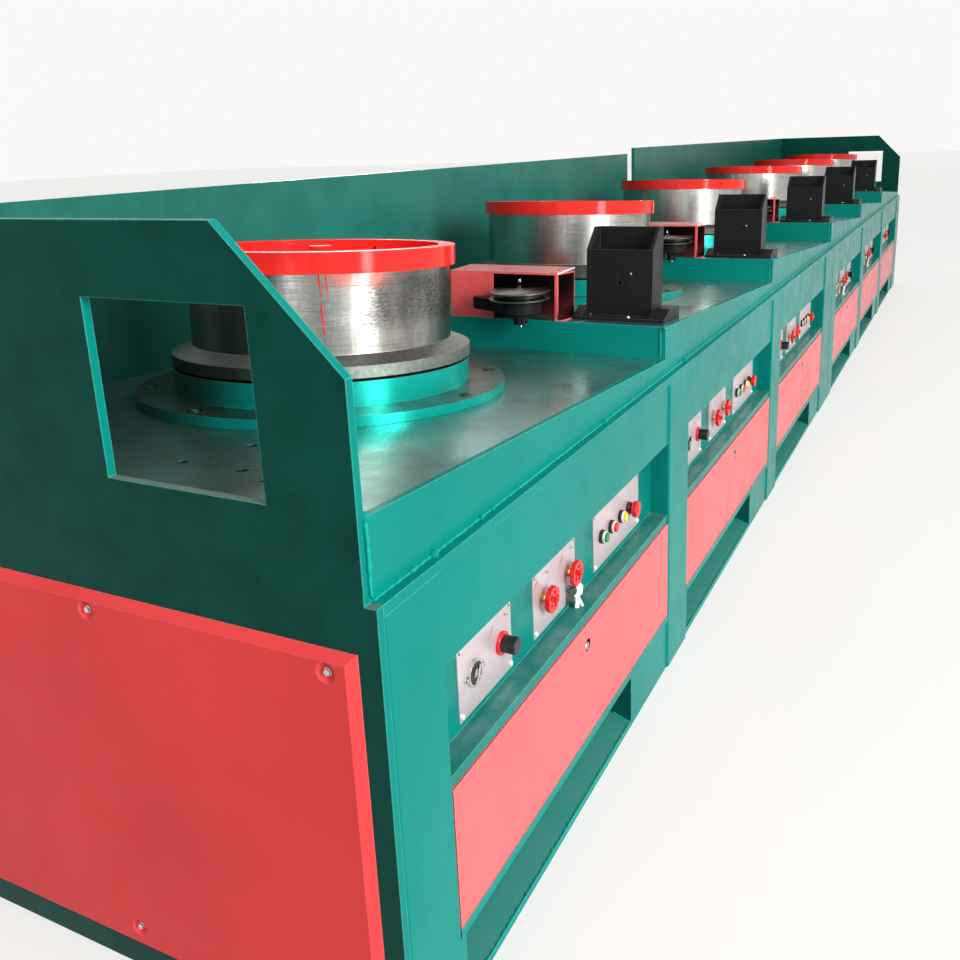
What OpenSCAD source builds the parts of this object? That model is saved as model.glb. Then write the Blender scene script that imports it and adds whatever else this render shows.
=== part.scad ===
// Straight-line wire drawing machine: six drum blocks on two equal bed sections.
// Machine places: X along the line from the near end, Y back from the operator front, Z up.

/* [Bed] */
// Length of the first bay of each section
first_bay_l = 1360; // [1320:10:1400]
// Length of the middle bay of each section
mid_bay_l = 1400; // [1360:10:1440]
// Length of the last bay of each section
last_bay_l = 1580; // [1540:10:1620]
// From the section's near end to its first drum
first_drum = 706; // [690:1:720]
// From a step in the deck to the drum above it
step_to_drum = 746; // [730:1:760]
// Depth of the bed over its front and rear posts
bed_d = 1130; // [1100:10:1200]
// Gap between the two bed sections
section_gap = 4; // [2:1:8]
// Thickness of the end plates
end_plate_t = 15; // [10:1:20]
// How far the upper bed stands back from the lower front
setback = 20; // [14:1:26]
// Height of the ledge between lower and upper bed
ledge_z = 845; // [820:5:870]
// Thickness of the ledge plate
ledge_t = 18; // [12:1:22]

/* [Upper plates] */
// Height of the near end plate and the near back panel
near_plate_h = 1361; // [1300:1:1400]
// How much taller the far end plate and the far back panel are
far_rise = 30; // [0:5:40]
// Size of the cut front corner of an end plate
corner_cut = 198; // [150:2:220]
// Sheet thickness of the back panels
panel_t = 6; // [4:1:10]
// Open length between the two back panels
panel_gap = 120; // [80:10:160]
// Distance of the near back panel's end from the section joint
panel_end = 190; // [150:10:220]
// Depth of the folded edges of the back panels
panel_flange = 18; // [10:1:20]
// Nearest edge of the wire window to the front
window_y = 173; // [150:1:200]
// Width of the wire window
window_w = 306; // [250:2:330]
// Sill height of the wire window
window_z = 972; // [972:1:1000]
// From the top of the wire window to the top of the near plate
window_top_gap = 111; // [100:1:140]

/* [Deck] */
// Height of each deck at its upper edge
deck_z = 971; // [960:1:980]
// Slope of the decks, falling away from the near end
deck_slope = 3.6; // [3:0.1:4]
// Thickness of the deck plates
deck_t = 22; // [16:1:24]
// Thickness of the side bands and risers
band_t = 12; // [8:1:16]

/* [Front] */
// Width of the first post of each section
first_post_w = 165; // [150:1:190]
// Width of the posts between the front openings
mid_post_w = 182; // [170:1:200]
// Width of the last post of each section
last_post_w = 286; // [260:1:300]
// Depth of the front posts and recesses
front_t = 60; // [56:1:70]
// Underside of the header sheet
header_z = 664; // [650:1:680]
// How far the header stands behind the posts
header_back = 5; // [3:1:8]
// Height of the control recess floor
recess_z = 462; // [455:1:470]
// Top edge of the doors
door_top = 437; // [425:1:440]
// Bottom edge of the doors
door_bottom = 165; // [160:1:175]
// Height of the lip strip under the doors
lip_h = 17; // [12:1:20]
// Length of the toe recess in each bay
toe_l = 857; // [800:1:900]
// Diameter of the lock hole in a door
lock_d = 30; // [20:1:36]

/* [Drum] */
// Diameter of the drum wall
drum_d = 560; // [540:2:580]
// Diameter of the red crown ring
crown_d = 588; // [570:2:600]
// Diameter of the drum's foot flange
foot_d = 644; // [620:2:650]
// Diameter of the fixed housing under the drum
housing_d = 640; // [630:2:660]
// Diameter of the base ring on the deck
base_d = 800; // [760:2:820]
// Height of the crown's top above the deck
crown_top = 317; // [305:1:325]
// Distance of the drum centres from the front
drum_y = 606; // [590:1:620]

/* [Wire guides] */
// Diameter of the tension sheave
sheave_d = 168; // [150:2:170]
// Height of the guard box over the tension arm
guard_h = 128; // [124:1:140]
// Depth of the guard box along the machine
guard_x = 122; // [110:2:140]
// Height of the die box
die_h = 250; // [235:1:260]
// Width of the die box
die_w = 191; // [170:1:200]

/* [Hidden] */
$fn = 96;
eps = 0.01;
bays = [0:5];
section_l = first_bay_l + mid_bay_l + last_bay_l;
opening_w = (section_l - first_post_w - 2 * mid_post_w - last_post_w) / 3;
window_h = near_plate_h - window_top_gap - window_z;
far_x = section_l + section_gap;
total_l = far_x + section_l;
green = "#10877a";
dark_green = "#0c6f65";
red = "#d8261c";
steel = "#a9aba9";
silver = "#c9cbc9";
black = "#191a1b";
alloy = "#d5d7d6";

body_y = band_t + setback;
rear_y = bed_d - setback - panel_t;
post_top = ledge_z - ledge_t;
base_t = 20;
housing_top = 70;
foot_z = 76;
foot_t = 24;
spindle_d = 110;
spindle_lift = 2;
fit = 0.5;
deck_seat = 0.05;

function section_x(i) = i < 3 ? 0 : far_x;
function in_section(i) = i % 3;
function bay_x(i) = section_x(i) + [0, first_bay_l, first_bay_l + mid_bay_l][in_section(i)];
function bay_end(i) =
    in_section(i) < 2 ? bay_x(i + 1) : section_x(i) + section_l - (i == 5 ? end_plate_t : 0);
function riser_foot(i) = deck_at(i, bay_end(i)) - deck_t;
function section_start(s) = section_x(3 * s) + (s == 0 ? end_plate_t : 0);
function section_end(s) = bay_end(3 * s + 2);
function deck_x(i) = bay_x(i) + (i == 0 ? end_plate_t : band_t);
function deck_at(i, x) = deck_z - (x - bay_x(i)) * tan(deck_slope);
function drum_x(i) = bay_x(i) + (in_section(i) == 0 ? first_drum : step_to_drum);
function opening_x(i) = section_x(i) + first_post_w + in_section(i) * (opening_w + mid_post_w);

// Moves machine places into the part's frame, whose origin is on the floor at the middle
module placed() {
    translate([-total_l / 2, -bed_d / 2, 0]) children();
}

// A flat outline in X and Z, given depth along Y
module slab_xz(y0, y1) {
    translate([0, y1, 0]) rotate([90, 0, 0]) linear_extrude(y1 - y0) children();
}

// A flat outline in Y and Z, given length along X
module slab_yz(x0, x1) {
    translate([x0, 0, 0]) rotate([90, 0, 90]) linear_extrude(x1 - x0) children();
}

module block(x0, x1, y0, y1, z0, z1) {
    translate([x0, y0, z0]) cube([x1 - x0, y1 - y0, z1 - z0]);
}

// Stands a child square to the deck of bay i, with its origin on the deck at x, y
module on_deck(i, x, y) {
    translate([x, y, deck_at(i, x)]) rotate([0, deck_slope, 0]) translate([0, 0, deck_seat]) children();
}

// Turns a front piece round to the rear
module to_rear() {
    translate([0, bed_d, 0]) mirror([0, 1, 0]) children();
}

module end_plate_outline(h) {
    difference() {
        polygon([[0, 0], [bed_d, 0], [bed_d, ledge_z], [bed_d - setback, ledge_z], [bed_d - setback, h],
                 [setback + corner_cut, h], [setback, h - corner_cut], [setback, ledge_z], [0, ledge_z]]);
        translate([window_y, window_z]) square([window_w, window_h]);
    }
}

module end_plates() {
    color(green) placed() {
        slab_yz(0, end_plate_t) end_plate_outline(near_plate_h);
        slab_yz(total_l - end_plate_t, total_l) end_plate_outline(near_plate_h + far_rise);
    }
}

cover_t = 14;
cover_margin = 38;
cover_top = 769;
cover_bottom = 60;
cover_screw_inset = 48;
cover_screw_top = 32;
cover_screw_d = 34;

// A raised cover with bevelled edges, its back on the plane x = 0 and its face toward -X
module end_cover() {
    y1 = bed_d - cover_margin;
    difference() {
        intersection() {
            translate([0, 0, cover_bottom]) linear_extrude(cover_top - cover_bottom)
                polygon([[0, cover_margin], [-cover_t, cover_margin + cover_t],
                         [-cover_t, y1 - cover_t], [0, y1]]);
            slab_xz(0, bed_d)
                polygon([[0, cover_bottom], [-cover_t, cover_bottom + cover_t],
                         [-cover_t, cover_top - cover_t], [0, cover_top]]);
        }
        for (y = [cover_margin + cover_screw_inset, bed_d / 2, y1 - cover_screw_inset])
            for (z = [cover_bottom + cover_screw_inset, cover_top - cover_screw_top])
                translate([-cover_t - eps, y, z]) rotate([0, 90, 0])
                    cylinder(h = cover_t / 2, d1 = cover_screw_d, d2 = cover_screw_d / 2);
    }
}

module end_covers() {
    color(red) placed() {
        end_cover();
        translate([total_l, 0, 0]) mirror([1, 0, 0]) end_cover();
    }
}

// A panel with folded ends that point to the rear
module back_panel(x0, x1, top) {
    block(x0, x1, rear_y, rear_y + panel_t, ledge_z, top);
    for (x = [x0, x1 - panel_t])
        block(x, x + panel_t, rear_y + panel_t - eps, rear_y + panel_flange, ledge_z, top);
}

module back_panels() {
    near_end = section_l - panel_end;
    color(green) placed() {
        back_panel(end_plate_t, near_end, near_plate_h);
        back_panel(near_end + panel_gap, total_l - end_plate_t, near_plate_h + far_rise);
    }
}

// Closed machine housing of one section: a block under the decks, stepped at each riser
module bed_body(s) {
    first = 3 * s;
    x0 = section_start(s);
    x1 = section_end(s);
    low = [for (i = [0:2]) riser_foot(first + i)];
    block(x0, x1, front_t, bed_d - front_t, 0, ledge_z);
    slab_xz(body_y, rear_y) polygon(concat(
        [[x0, ledge_z - eps]],
        s == 0 ? [] : [[x0, riser_foot(2)], [x0 + band_t, riser_foot(2)]],
        [[deck_x(first), deck_at(first, deck_x(first)) - deck_t], [bay_end(first), low[0]]],
        [for (k = [1, 2]) each [
            [deck_x(first + k), low[k - 1]],
            [deck_x(first + k), deck_at(first + k, deck_x(first + k)) - deck_t],
            [bay_end(first + k), low[k]]]],
        [[x1, ledge_z - eps]]));
}

module bed_bodies() {
    color(dark_green) placed() for (s = [0, 1]) bed_body(s);
}

post_r = 6;

// Four posts per section: between the openings and out to both ends
module posts() {
    for (s = [0, 1]) {
        for (k = [0:3]) {
            x0 = k == 0 ? section_start(s) : opening_x(3 * s + k - 1) + opening_w;
            x1 = k == 3 ? section_end(s) : opening_x(3 * s + k);
            linear_extrude(post_top) {
                translate([x0, post_r]) square([x1 - x0, front_t - post_r]);
                translate([x0 + post_r, 0]) square([x1 - x0 - 2 * post_r, front_t]);
                for (x = [x0 + post_r, x1 - post_r]) translate([x, post_r]) circle(post_r);
            }
        }
    }
}

module front_posts() {
    color(green) placed() posts();
}

module rear_posts() {
    color(green) placed() to_rear() posts();
}

module ledge_strips() {
    for (s = [0, 1]) block(section_start(s), section_end(s), 0, front_t, post_top, ledge_z);
}

module ledge_plates() {
    color(green) placed() {
        difference() {
            union() {
                ledge_strips();
                to_rear() ledge_strips();
            }
            block(-1, total_l + 1, body_y, rear_y, ledge_z - eps, ledge_z + 1);
        }
    }
}

module headers() {
    for (i = bays) block(opening_x(i), opening_x(i) + opening_w, header_back, front_t, header_z, post_top);
}

module front_headers() {
    color(green) placed() headers();
}

module rear_headers() {
    color(green) placed() to_rear() headers();
}

recess_back_t = 7;
door_gap = 4;

// Back sheet and floor ledge behind the controls
module control_recesses() {
    color(green) placed() for (i = bays) slab_yz(opening_x(i), opening_x(i) + opening_w)
        polygon([[header_back, door_top + door_gap], [header_back, recess_z],
                 [front_t - recess_back_t, recess_z], [front_t - recess_back_t, header_z],
                 [front_t, header_z], [front_t, door_top + door_gap]]);
}

door_back = 2;
door_t = 24;
door_frame = 20;
lock_drop = 50;

// Lift-off panels, each with one lock hole at the top
module doors(top) {
    for (i = bays) {
        x0 = opening_x(i) + door_gap;
        x1 = opening_x(i) + opening_w - door_gap;
        difference() {
            block(x0, x1, door_back, door_back + door_t, door_bottom, top);
            translate([(x0 + x1) / 2, 0, top - lock_drop]) rotate([-90, 0, 0])
                cylinder(h = door_t / 2, d = lock_d);
        }
        block(x0 + door_frame, x1 - door_frame, door_back + door_t - eps, front_t,
              door_bottom + door_frame, top - door_frame);
    }
}

module front_doors() {
    color(red) placed() doors(door_top);
}

module rear_doors() {
    color(red) placed() to_rear() doors(header_z - door_gap);
}

toe_front_z = 11;
toe_back_z = 28;
toe_jamb = 20;

// Lip strip under the door, with the toe recess and its sloping plate below
module sills() {
    for (i = bays) {
        x0 = opening_x(i);
        x1 = x0 + opening_w;
        block(x0, x1, 0, front_t, door_bottom - lip_h, door_bottom);
        block(x0 + toe_jamb + toe_l, x1, header_back, front_t, 0, door_bottom - lip_h + eps);
        block(x0, x0 + toe_jamb, header_back, front_t, 0, door_bottom - lip_h + eps);
        slab_yz(x0, x1)
            polygon([[header_back, 0], [front_t, 0], [front_t, toe_back_z], [header_back, toe_front_z]]);
    }
}

module front_sills() {
    color(green) placed() sills();
}

module rear_sills() {
    color(green) placed() to_rear() sills();
}

// Upright side plate of each section, its top edge following the stepped decks
module side_bands() {
    color(green) placed() for (s = [0, 1]) {
        first = 3 * s;
        x0 = section_start(s);
        slab_xz(setback, body_y) polygon(concat(
            [[x0, ledge_z]],
            [for (i = [first : first + 2]) each [
                [max(x0, bay_x(i)), deck_at(i, max(x0, bay_x(i)))], [bay_end(i), deck_at(i, bay_end(i))]]],
            [[section_end(s), ledge_z]]));
    }
}

tapped_floor = 4;
// Tapped holes in the first deck: distance from the near end, from the front, and diameter
tapped_holes = [[119, 322, 20], [114, 444, 18], [241, 412, 20], [87, 256, 10]];

module deck_plates() {
    color(steel) placed() difference() {
        for (i = bays) {
            x0 = deck_x(i);
            x1 = bay_end(i);
            slab_xz(body_y, rear_y) polygon([[x0, deck_at(i, x0)], [x1, deck_at(i, x1)],
                [x1, deck_at(i, x1) - deck_t], [x0, deck_at(i, x0) - deck_t]]);
        }
        for (h = tapped_holes) on_deck(0, h[0], h[1])
            translate([0, 0, tapped_floor - deck_t]) cylinder(h = deck_t, d = h[2]);
    }
}

// Upright plates at each step, their tops in line with the next deck
module deck_risers() {
    color(green) placed() for (i = [1:5]) slab_xz(body_y, rear_y)
        polygon([[bay_x(i), riser_foot(i - 1)], [bay_x(i), deck_z],
                 [deck_x(i), deck_at(i, deck_x(i))], [deck_x(i), riser_foot(i - 1)]]);
}

module drum_housings() {
    color(green) placed() for (i = bays) on_deck(i, drum_x(i), drum_y) difference() {
        union() {
            cylinder(h = base_t, d = base_d);
            cylinder(h = housing_top, d = housing_d);
        }
        translate([0, 0, base_t]) cylinder(h = housing_top, d = spindle_d + 2 * fit);
    }
}

guard_t = 4;
guard_front = 325;
guard_back = 655;
guard_strip = 8;
guard_open_w = 185;
guard_foot = 16;

// Red sheet box on each step, open to the near end where the arm comes out and to the front
module tension_guards() {
    w = guard_back - guard_front;
    clear_h = guard_h - guard_t;
    color(red) placed() for (i = [1:5]) on_deck(i, bay_x(i), guard_front) {
        difference() {
            block(0, guard_x, 0, w, 0, guard_h);
            block(guard_t, guard_x - guard_t, guard_t, w - guard_t, -1, clear_h);
            block(-1, guard_t + 1, guard_strip, guard_strip + guard_open_w, -1, clear_h);
            block(guard_strip, guard_x - guard_t, -1, guard_t + 1, guard_t, clear_h);
        }
        block(0, guard_x, -guard_foot, eps, 0, guard_t);
    }
}

// Die box: footed flange and an open box whose near face is lower, with sloping cheeks
die_x = 107;
die_l = 88;
die_wall = 9;
die_y = 92;
die_near_h = 190;
die_slope_l = 58;
die_floor = 40;
die_hole_z = 100;
die_hole_d = 10;
die_flange_t = 10;
die_flange_x = [60, 200];
die_flange_y = [43, 307];
die_foot_h = 34;
die_foot_x = [64, 115];

module die_boxes() {
    color(black) placed() for (i = [1:5]) on_deck(i, bay_x(i), 0) {
        block(die_flange_x[0], die_flange_x[1], die_flange_y[0], die_flange_y[1], 0, die_flange_t);
        for (y = [[die_flange_y[0], die_y + eps], [die_y + die_w - eps, die_flange_y[1]]])
            slab_xz(y[0], y[1]) polygon([[die_foot_x[0], 0], [die_flange_x[1], 0],
                [die_flange_x[1], die_foot_h], [die_foot_x[1], die_foot_h], [die_foot_x[0], die_flange_t]]);
        difference() {
            slab_xz(die_y, die_y + die_w) polygon([[die_x, 0], [die_x + die_l, 0], [die_x + die_l, die_h],
                [die_x + die_slope_l, die_h], [die_x, die_near_h]]);
            block(die_x + die_wall, die_x + die_l - die_wall, die_y + die_wall, die_y + die_w - die_wall,
                  die_floor, die_h + 1);
            block(die_x - 1, die_x + die_wall + 1, die_y + die_wall, die_y + die_w - die_wall,
                  die_near_h, die_h + 1);
            translate([die_x - 1, die_y + die_w / 2, die_hole_z]) rotate([0, 90, 0])
                cylinder(h = die_l + 2, d = die_hole_d);
        }
    }
}

plate_t = 3;
plate_z = [476, 614];
// Each plate's place from the section's first opening post: start and end
knob_plate = [116, 320];
valve_plate = [420, 636];
button_plate = [748, 1064];
control_z = 548;
selector_at = 170;
knob_at = 278;
valve_at = [470, 598];
button_at = [796, 859, 926];
stop_at = 984;
plate_face = front_t - recess_back_t - plate_t;

// A control's place in bay i: the far section runs in the other direction
function control_x(i, a) = opening_x(i) + (i < 3 ? a : opening_w - a);

module on_plate(i, a) {
    translate([control_x(i, a), plate_face, control_z]) rotate([90, 0, 0]) children();
}

module control_plates() {
    color(alloy) placed() for (i = bays) for (p = [knob_plate, valve_plate, button_plate])
        block(min(control_x(i, p[0]), control_x(i, p[1])), max(control_x(i, p[0]), control_x(i, p[1])),
              plate_face, plate_face + plate_t, plate_z[0], plate_z[1]);
}

selector_rim_d = 51;
selector_rim_h = 6;
selector_dish_d = 42;
selector_dish_h = 2;
selector_hub_d = 20;
selector_hub_h = 8;
lever_size = [34, 8, 12];
lever_turn = 60;
ear_span = 60;
ear_d = 12;
ear_h = 3;

// Round dish with two screwed ears, and a small lever on its hub
module range_selectors() {
    color(silver) placed() for (i = bays) on_plate(i, selector_at) {
        difference() {
            union() {
                cylinder(h = selector_rim_h, d = selector_rim_d);
                for (x = [-ear_span / 2, ear_span / 2]) translate([x, 0, 0]) cylinder(h = ear_h, d = ear_d);
                translate([-ear_span / 2, -ear_d / 2, 0]) cube([ear_span, ear_d, ear_h]);
            }
            translate([0, 0, selector_dish_h]) cylinder(h = selector_rim_h, d = selector_dish_d);
        }
        cylinder(h = selector_hub_h, d = selector_hub_d);
        rotate(lever_turn) translate([-lever_size[0] / 2, -lever_size[1] / 2, 0]) cube(lever_size);
    }
}

knob_d = 32;
knob_h = 34;
knob_skirt_d = 44;
knob_skirt_h = 6;

module speed_knobs() {
    color(black) placed() for (i = bays) on_plate(i, knob_at) {
        cylinder(h = knob_skirt_h, d = knob_skirt_d);
        cylinder(h = knob_h, d = knob_d);
    }
}

wheel_d = 56;
wheel_z = [14, 24];
stem_d = 14;
stem_end_d = 12;
stem_end_h = 30;
lobes = 8;
lobe_gap_d = 13;
lobe_gap_r = 32;
wheel_windows = 5;
window_hole_d = 9;
window_hole_r = 15;

// Lobed and pierced handwheels on their stems
module valve_wheels() {
    color(red) placed() for (i = bays) for (a = valve_at) on_plate(i, a) {
        cylinder(h = wheel_z[0], d = stem_d);
        difference() {
            translate([0, 0, wheel_z[0]]) cylinder(h = wheel_z[1] - wheel_z[0], d = wheel_d);
            for (k = [1:lobes]) rotate(k * 360 / lobes) translate([lobe_gap_r, 0, 0])
                cylinder(h = stem_end_h, d = lobe_gap_d);
            for (k = [1:wheel_windows]) rotate(k * 360 / wheel_windows) translate([window_hole_r, 0, 0])
                cylinder(h = stem_end_h, d = window_hole_d);
        }
        cylinder(h = stem_end_h, d = stem_end_d);
    }
}

bezel_d = 32;
bezel_h = 8;
cap_d = 23;
cap_h = 15;

module push_buttons() {
    color(black) placed() for (i = bays) for (a = button_at) on_plate(i, a) {
        cylinder(h = bezel_h, d = bezel_d);
        cylinder(h = cap_h, d = cap_d);
    }
}

stop_d = 40;
stop_z = [16, 28];

module emergency_stops() {
    color(red) placed() for (i = bays) on_plate(i, stop_at) {
        cylinder(h = bezel_h, d = bezel_d);
        cylinder(h = stop_z[0], d = cap_d);
        translate([0, 0, stop_z[0]]) cylinder(h = stop_z[1] - stop_z[0], d = stop_d);
    }
}

drum_wall = 12;
shoulder_h = 16;
web_t = 10;
boss_d = 180;
boss_h = 40;
crown_h = 42;
crown_z = crown_top - crown_h;
web_z = foot_z + foot_t + web_t;
boss_top = web_z + boss_h;

// Drum shell: wall, shoulder, foot flange, web and the shaft in the housing
module drum(i) {
    r = drum_d / 2;
    color(silver) placed() on_deck(i, drum_x(i), drum_y) rotate_extrude($fn = 144) polygon([
        [0, base_t + spindle_lift], [spindle_d / 2, base_t + spindle_lift], [spindle_d / 2, foot_z],
        [foot_d / 2, foot_z], [foot_d / 2, foot_z + foot_t],
        [r, foot_z + foot_t + shoulder_h], [r, crown_z], [r - drum_wall, crown_z], [r - drum_wall, web_z],
        [boss_d / 2, web_z], [boss_d / 2, boss_top], [0, boss_top]]);
}

crown_lip = 8;
crown_fit = 1;
dish_drop = 13;
dish_t = 10;
hub_d = 160;
cap_stem_d = 26;
hub_cap_d = 48;
hub_cap_t = 9;
hub_cap_drop = 2;
set_hole_d = 9;
// How far each crown's four radial holes are turned
crown_turns = [8, 30, 52, 14, 70, 36];

// Crown ring on the drum wall, dished inside round a hub that stands on the drum's boss
module crown(i) {
    r = crown_d / 2;
    inner = drum_d / 2 - drum_wall - crown_lip;
    dish = drum_d / 2 - drum_wall - crown_fit;
    dish_z = crown_z - dish_drop;
    cap_z = crown_top - hub_cap_drop;
    color(red) placed() on_deck(i, drum_x(i), drum_y) difference() {
        rotate_extrude($fn = 144) polygon([
            [0, boss_top], [hub_d / 2, boss_top], [hub_d / 2, dish_z], [dish, dish_z], [dish, crown_z],
            [r, crown_z], [r, crown_top], [inner, crown_top], [inner, dish_z + dish_t],
            [cap_stem_d / 2, dish_z + dish_t], [cap_stem_d / 2, cap_z - hub_cap_t],
            [hub_cap_d / 2, cap_z - hub_cap_t], [hub_cap_d / 2, cap_z], [0, cap_z]]);
        for (k = [0:3]) rotate(crown_turns[i] + k * 90) translate([inner - 1, 0, crown_z + crown_h / 2])
            rotate([0, 90, 0]) cylinder(h = r - inner + 2, d = set_hole_d, $fn = 24);
    }
}

// Tension arm: it turns on a pin inside the guard box and carries the sheave in front of it
arm_z = 1003;
arm_t = 33;
arm_w = 46;
pivot = [70, 470];
pivot_d = 40;
pivot_h = 60;
pin_d = 16;
pin_fit = 0.1;
pin_rise = 12;
seat_gap = 0.3;
elbow = [-30, 466];
// Near and far corner of the arm's free end
arm_end = [[-40, 560], [-20, 560]];
arm_root_w = 112;
arm_round_d = 116;
sheave_at = [-44, 414];
sheave_t = 24;
sheave_rim = 4;
groove = 16;
groove_w = 4;
hub_rise = 14;
hub_base_d = 76;
hub_top_d = 62;
light_holes = 6;
light_hole_d = 18;
light_hole_r = 52;
axle_d = 20;
axle_rise = 5;
axle_boss_h = 18;
axle_boss_d = [52, 38];
axle_nut_h = 18;
axle_nut_d = 38;

// Posts on the deck with the pins that the tension arms turn on
module arm_pivots() {
    color(steel) placed() for (i = [1:5]) {
        x = bay_x(i) + pivot[0];
        difference() {
            translate([x, pivot[1], arm_z - pivot_h]) {
                cylinder(h = pivot_h - seat_gap, d = pivot_d);
                cylinder(h = pivot_h + arm_t + pin_rise, d = pin_d);
            }
            on_deck(i, x, pivot[1]) block(-pivot_d, pivot_d, -pivot_d, pivot_d, -pivot_d * 2, 0);
        }
    }
}

module arm_bar(a, b, w) {
    d = b - a;
    l = norm(d);
    translate([a[0], a[1], 0]) rotate(atan2(d[1], d[0])) translate([-w / 2, -w / 2]) square([l + w, w]);
}

module tension_arm(i) {
    color(black) placed() translate([bay_x(i), 0, arm_z]) difference() {
        union() {
            linear_extrude(arm_t) {
                arm_bar(pivot, elbow, arm_w);
                translate(sheave_at) circle(d = arm_round_d);
                polygon([arm_end[0], arm_end[1], [sheave_at[0] + arm_root_w / 2, sheave_at[1]],
                         [sheave_at[0] - arm_root_w / 2, sheave_at[1]]]);
            }
            translate([sheave_at[0], sheave_at[1], -axle_boss_h]) {
                cylinder(h = axle_boss_h + eps, d1 = axle_boss_d[1], d2 = axle_boss_d[0]);
                translate([0, 0, -axle_nut_h]) cylinder(h = axle_nut_h + eps, d = axle_nut_d, $fn = 6);
                cylinder(h = axle_boss_h + arm_t + seat_gap + sheave_t + hub_rise + axle_rise, d = axle_d);
            }
        }
        translate([pivot[0], pivot[1], -1]) cylinder(h = arm_t + 2, d = pin_d + 2 * pin_fit);
    }
}

// Grooved wheel with a raised hub and lightening holes, free to turn on the arm's axle
module sheave(i) {
    r = sheave_d / 2;
    bore = axle_d / 2 + pin_fit;
    middle = sheave_t / 2;
    seat = arm_z + arm_t + seat_gap;
    color(silver) placed() translate([bay_x(i) + sheave_at[0], sheave_at[1], seat]) difference() {
        rotate_extrude($fn = 96) polygon([
            [bore, 0], [r, 0], [r, sheave_rim], [r - groove, middle - groove_w / 2],
            [r - groove, middle + groove_w / 2], [r, sheave_t - sheave_rim], [r, sheave_t],
            [hub_base_d / 2, sheave_t], [hub_top_d / 2, sheave_t + hub_rise], [bore, sheave_t + hub_rise]]);
        for (k = [1:light_holes]) rotate(k * 360 / light_holes) translate([light_hole_r, 0, -1])
            cylinder(h = sheave_t + 2, d = light_hole_d, $fn = 32);
    }
}

end_plates();
end_covers();
back_panels();
bed_bodies();
front_posts();
rear_posts();
ledge_plates();
front_headers();
rear_headers();
control_recesses();
front_doors();
rear_doors();
front_sills();
rear_sills();
side_bands();
deck_plates();
deck_risers();
drum_housings();
tension_guards();
arm_pivots();
die_boxes();
control_plates();
range_selectors();
speed_knobs();
valve_wheels();
push_buttons();
emergency_stops();
for (i = bays) {
    drum(i);
    crown(i);
}
for (i = [1:5]) {
    tension_arm(i);
    sheave(i);
}
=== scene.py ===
"""Looks of the wire drawing machine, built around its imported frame."""

import math
import random

import bmesh
import bpy
from mathutils import Matrix, Vector


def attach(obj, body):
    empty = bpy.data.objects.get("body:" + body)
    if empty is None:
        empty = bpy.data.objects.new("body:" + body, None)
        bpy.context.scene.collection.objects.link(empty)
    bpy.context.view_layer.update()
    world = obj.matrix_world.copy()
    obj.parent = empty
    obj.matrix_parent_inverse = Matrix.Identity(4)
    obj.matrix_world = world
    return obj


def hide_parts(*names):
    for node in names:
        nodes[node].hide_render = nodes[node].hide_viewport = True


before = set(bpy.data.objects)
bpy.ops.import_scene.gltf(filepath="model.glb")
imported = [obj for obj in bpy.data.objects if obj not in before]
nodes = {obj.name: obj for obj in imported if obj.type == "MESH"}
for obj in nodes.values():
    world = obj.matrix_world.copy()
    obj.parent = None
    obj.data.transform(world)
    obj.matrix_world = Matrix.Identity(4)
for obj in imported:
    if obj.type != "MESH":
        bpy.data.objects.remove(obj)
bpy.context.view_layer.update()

# The machine's own places, in millimetres: X from the near end, Y back from the front, Z up
LENGTH = 8684
DEPTH = 1130
MIDDLE = (LENGTH / 2, DEPTH / 2)
SECTIONS = ((15, 4340), (4344, 8669))  # from the near end plate to the joint, and on to the far plate
BAYS = range(6)
BAY_X = (0, 1360, 2760, 4344, 5704, 7104)
STEPS = range(1, 6)
SLOPE = math.radians(3.6)
DECK_Z = 971
LEDGE_Z = 845
BAND_Y = 20

DRUM_X = (706, 2106, 3506, 5050, 6450, 7850)
DRUM_Y = 606
DRUM_AXIS = (math.sin(SLOPE), 0, math.cos(SLOPE))
DRUM_WALL_R = 279.4
BASE_RING_TOP = 20
BASE_BOLT_R = 372
JACKING_HOLE_R = 364

# The control openings, and how far along each one its plates and controls are
OPENING_X = (165, 1522, 2879, 4509, 5866, 7223)
OPENING_W = 1175
OPENING_TOP = 826.5
PLATE_Y = 50
PLATE_Z = (476, 614)
PLATES = ((116, 320), (420, 636), (748, 1064))
CONTROL_Z = 548
SELECTOR = 170
KNOB = 278
VALVES = (470, 598)
STOP = 984

# The steps between decks, from the step itself
ARM_Z = 1003
ARM_TOP = ARM_Z + 33
SHEAVE_AT = (-44, 414)
SHEAVE_Z = ARM_TOP + 0.3
SHEAVE_FACE_Z = SHEAVE_Z + 26
PIVOT_AT = (70, 470)
GUARD_FRONT, GUARD_DEEP, GUARD_WIDE, GUARD_HIGH = 325, 122, 330, 128
DIE_BOX_X = 107
DIE_FOOT_TOP = 10

MILLIMETRES = Matrix.Scale(0.001, 4)


def at(x, y, z):
    """A machine place in millimetres as a point of the frame in metres."""
    return Vector((x - MIDDLE[0], y - MIDDLE[1], z)) / 1000


def moved(x, y, z):
    """A shift within a local frame."""
    return Matrix.Translation((x, y, z))


def turned(degrees, axis):
    """A turn within a local frame."""
    return Matrix.Rotation(math.radians(degrees), 4, axis)


def here(x, y, z, turn=0, axis="Z"):
    """A local frame in millimetres at a machine place."""
    return Matrix.Translation(at(x, y, z)) @ turned(turn, axis) @ MILLIMETRES


def on_deck(i, x, y):
    """A local frame in millimetres that stands square to deck i at machine x, y."""
    z = DECK_Z - (x - BAY_X[i]) * math.tan(SLOPE)
    return Matrix.Translation(at(x, y, z)) @ Matrix.Rotation(SLOPE, 4, "Y") @ MILLIMETRES


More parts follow.
